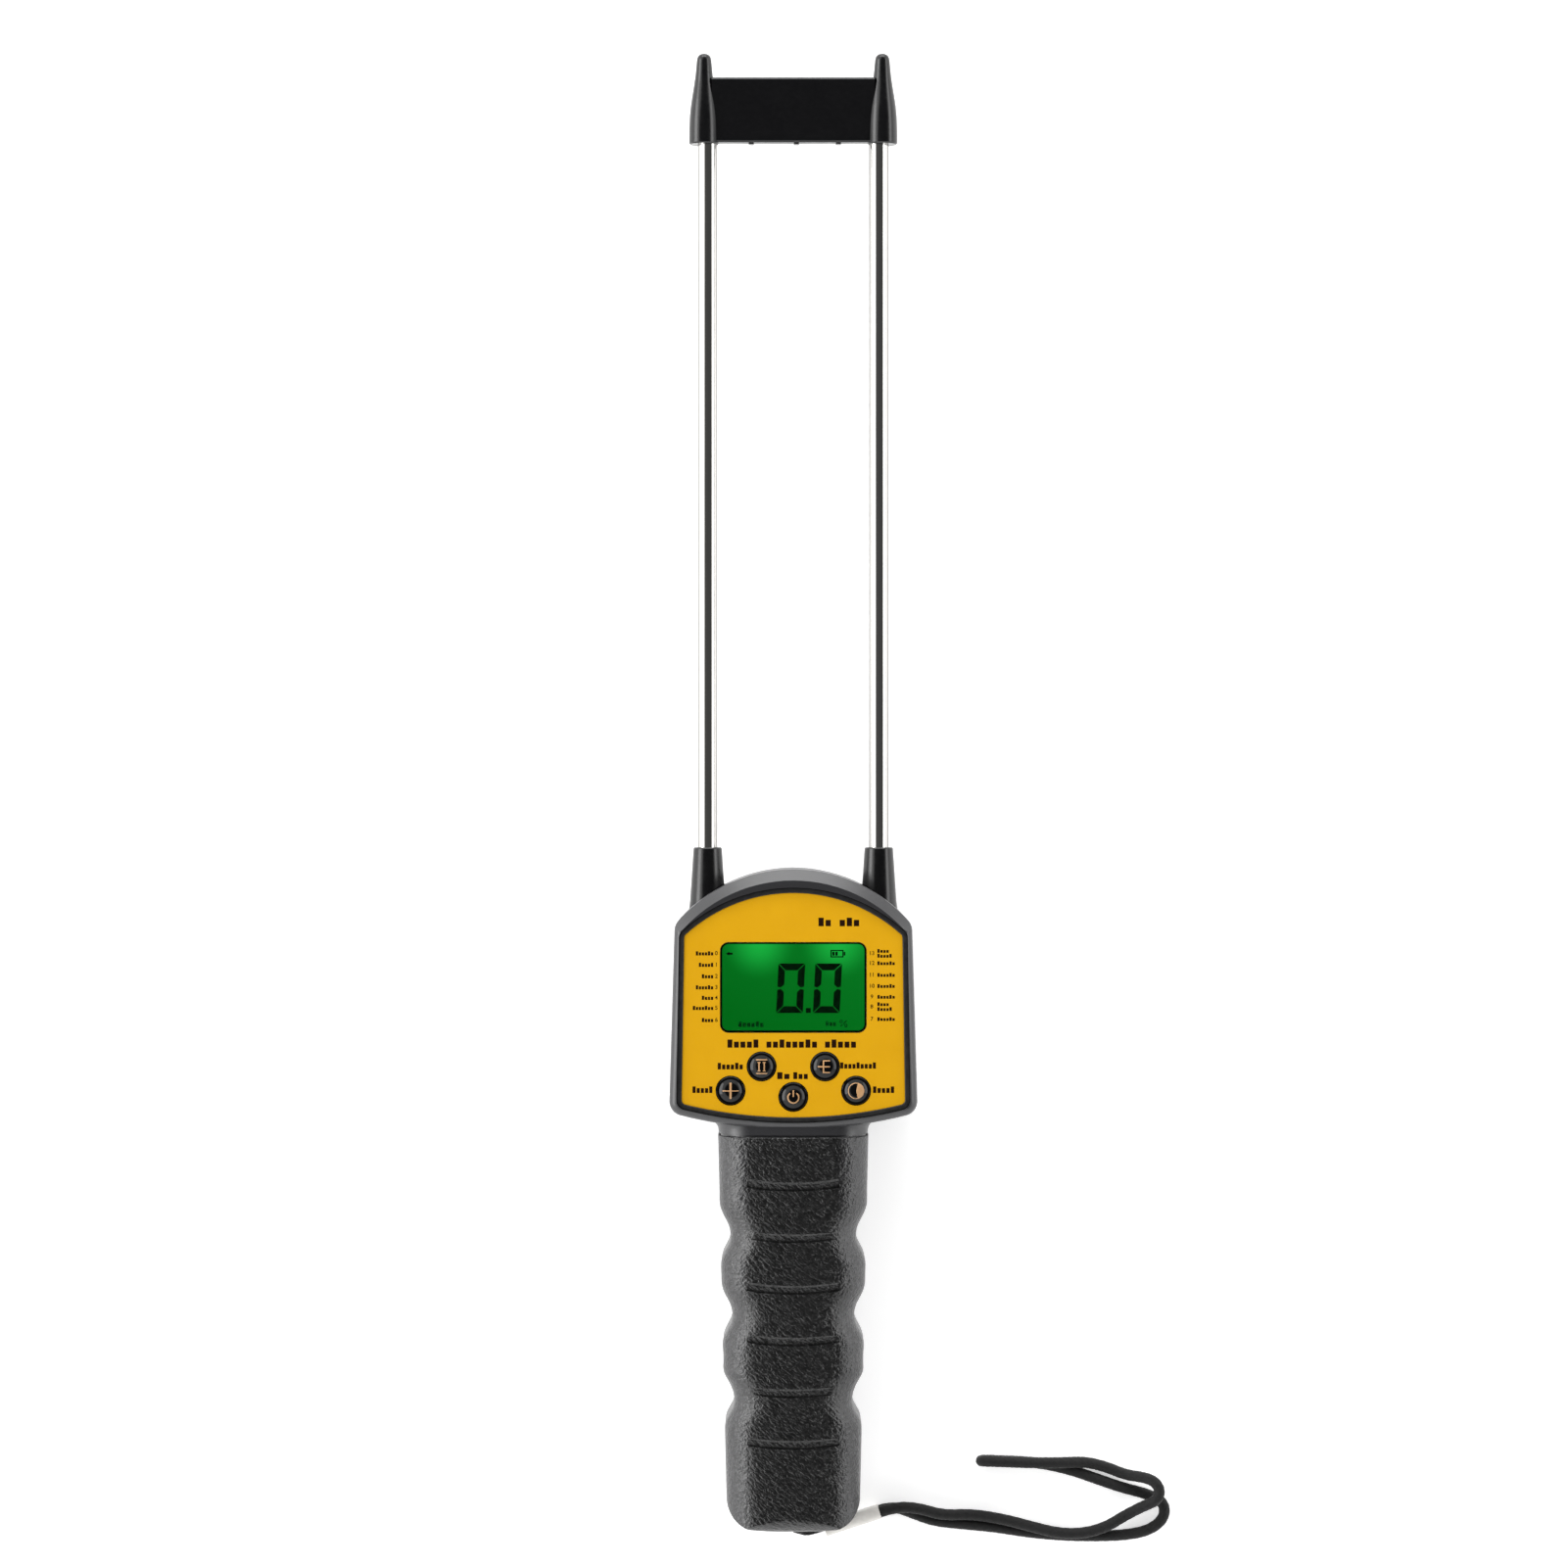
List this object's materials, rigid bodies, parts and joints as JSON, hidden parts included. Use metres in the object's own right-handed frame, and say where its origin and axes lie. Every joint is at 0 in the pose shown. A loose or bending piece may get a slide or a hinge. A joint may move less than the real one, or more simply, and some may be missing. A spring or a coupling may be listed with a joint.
{
  "type": "handheld moisture meter",
  "caption": "Handheld grain moisture meter with a backlit display and keys in a wide head, a finger-shaped grip, a long twin-rod probe with a bridged tip, and a wrist strap.",
  "frame": {"origin": "the meter lies on its back; the origin is on the table under the middle of its length and width, not counting the strap", "axes": "+X to the right of the face, +Y from the grip towards the probe tips, +Z out of the face"},
  "size_m": [0.1561, 0.4635, 0.0352],
  "materials": {
    "shell_plastic": "satin",
    "panel_yellow": "satin",
    "gasket_rubber": "matte",
    "lens_clear": "gloss",
    "display_green": "gloss",
    "frame_white": "satin",
    "light_guide": "gloss",
    "lamp": "gloss",
    "contact_rubber": "matte",
    "key_black": "gloss",
    "switch_plastic": "satin",
    "board_green": "satin",
    "component_black": "matte",
    "screw_steel": "satin",
    "probe_plastic": "satin",
    "rod_steel": "polished",
    "clamp_brass": "satin",
    "wire_cover": "satin",
    "cell_jacket": "gloss",
    "contact_metal": "satin",
    "speaker_metal": "satin",
    "ferrule_pale": "satin",
    "strap_braid": "matte"
  },
  "bodies": {
    "meter": {"backlight_leds": "lamp", "backlight_panel": "light_guide", "battery_1": "cell_jacket", "battery_2": "cell_jacket", "battery_3": "cell_jacket", "battery_4": "cell_jacket", "battery_contacts": "contact_metal", "battery_springs": "contact_metal", "battery_wires": "wire_cover", "board_parts": "component_black", "board_screws": "screw_steel", "clamp_screws": "screw_steel", "controller_chip": "component_black", "display_lens": "lens_clear", "electrode_rod_left": "rod_steel", "electrode_rod_right": "rod_steel", "face_panel": "panel_yellow", "front_housing": "shell_plastic", "housing_screws": "screw_steel", "lcd_frame": "frame_white", "lcd_glass": "display_green", "main_board": "board_green", "panel_gasket": "gasket_rubber", "rear_housing": "shell_plastic", "rod_clamp_left": "clamp_brass", "rod_clamp_right": "clamp_brass", "rod_sleeve_left": "probe_plastic", "rod_sleeve_right": "probe_plastic", "signal_wire_left": "wire_cover", "signal_wire_right": "wire_cover", "speaker": "speaker_metal", "speaker_wires": "wire_cover", "strap_ferrule": "ferrule_pale", "strap_string": "strap_braid", "tact_switches": "switch_plastic", "tip_bridge": "probe_plastic", "tip_spike_left": "probe_plastic", "tip_spike_right": "probe_plastic", "wrist_strap": "strap_braid", "zebra_connector": "contact_rubber"},
    "power_key": {"key_power": "key_black", "switch_plunger_power": "switch_plastic"},
    "adjust_key": {"key_adjust": "key_black", "switch_plunger_adjust": "switch_plastic"},
    "varieties_key": {"key_varieties": "key_black", "switch_plunger_varieties": "switch_plastic"},
    "limit_key": {"key_limit": "key_black", "switch_plunger_limit": "switch_plastic"},
    "voice_key": {"key_voice": "key_black", "switch_plunger_voice": "switch_plastic"},
    "cover": {"battery_cover": "shell_plastic"}
  },
  "joints": [
    {"name": "press_power", "type": "slide", "parent": "meter", "child": "power_key", "axis": [0, 0, -1], "range_m": [0, 0.0005], "stiffness_N_per_m": 500, "springref_m": -0.002},
    {"name": "press_adjust", "type": "slide", "parent": "meter", "child": "adjust_key", "axis": [0, 0, -1], "range_m": [0, 0.0005], "stiffness_N_per_m": 500, "springref_m": -0.002},
    {"name": "press_varieties", "type": "slide", "parent": "meter", "child": "varieties_key", "axis": [0, 0, -1], "range_m": [0, 0.0005], "stiffness_N_per_m": 500, "springref_m": -0.002},
    {"name": "press_limit", "type": "slide", "parent": "meter", "child": "limit_key", "axis": [0, 0, -1], "range_m": [0, 0.0005], "stiffness_N_per_m": 500, "springref_m": -0.002},
    {"name": "press_voice", "type": "slide", "parent": "meter", "child": "voice_key", "axis": [0, 0, -1], "range_m": [0, 0.0005], "stiffness_N_per_m": 500, "springref_m": -0.002},
    {"name": "open_battery_cover", "type": "hinge", "parent": "meter", "child": "cover", "pos_m": [0, -0.1139, 0.00135], "axis": [1, 0, 0], "range_deg": [0, 75]}
  ]
}
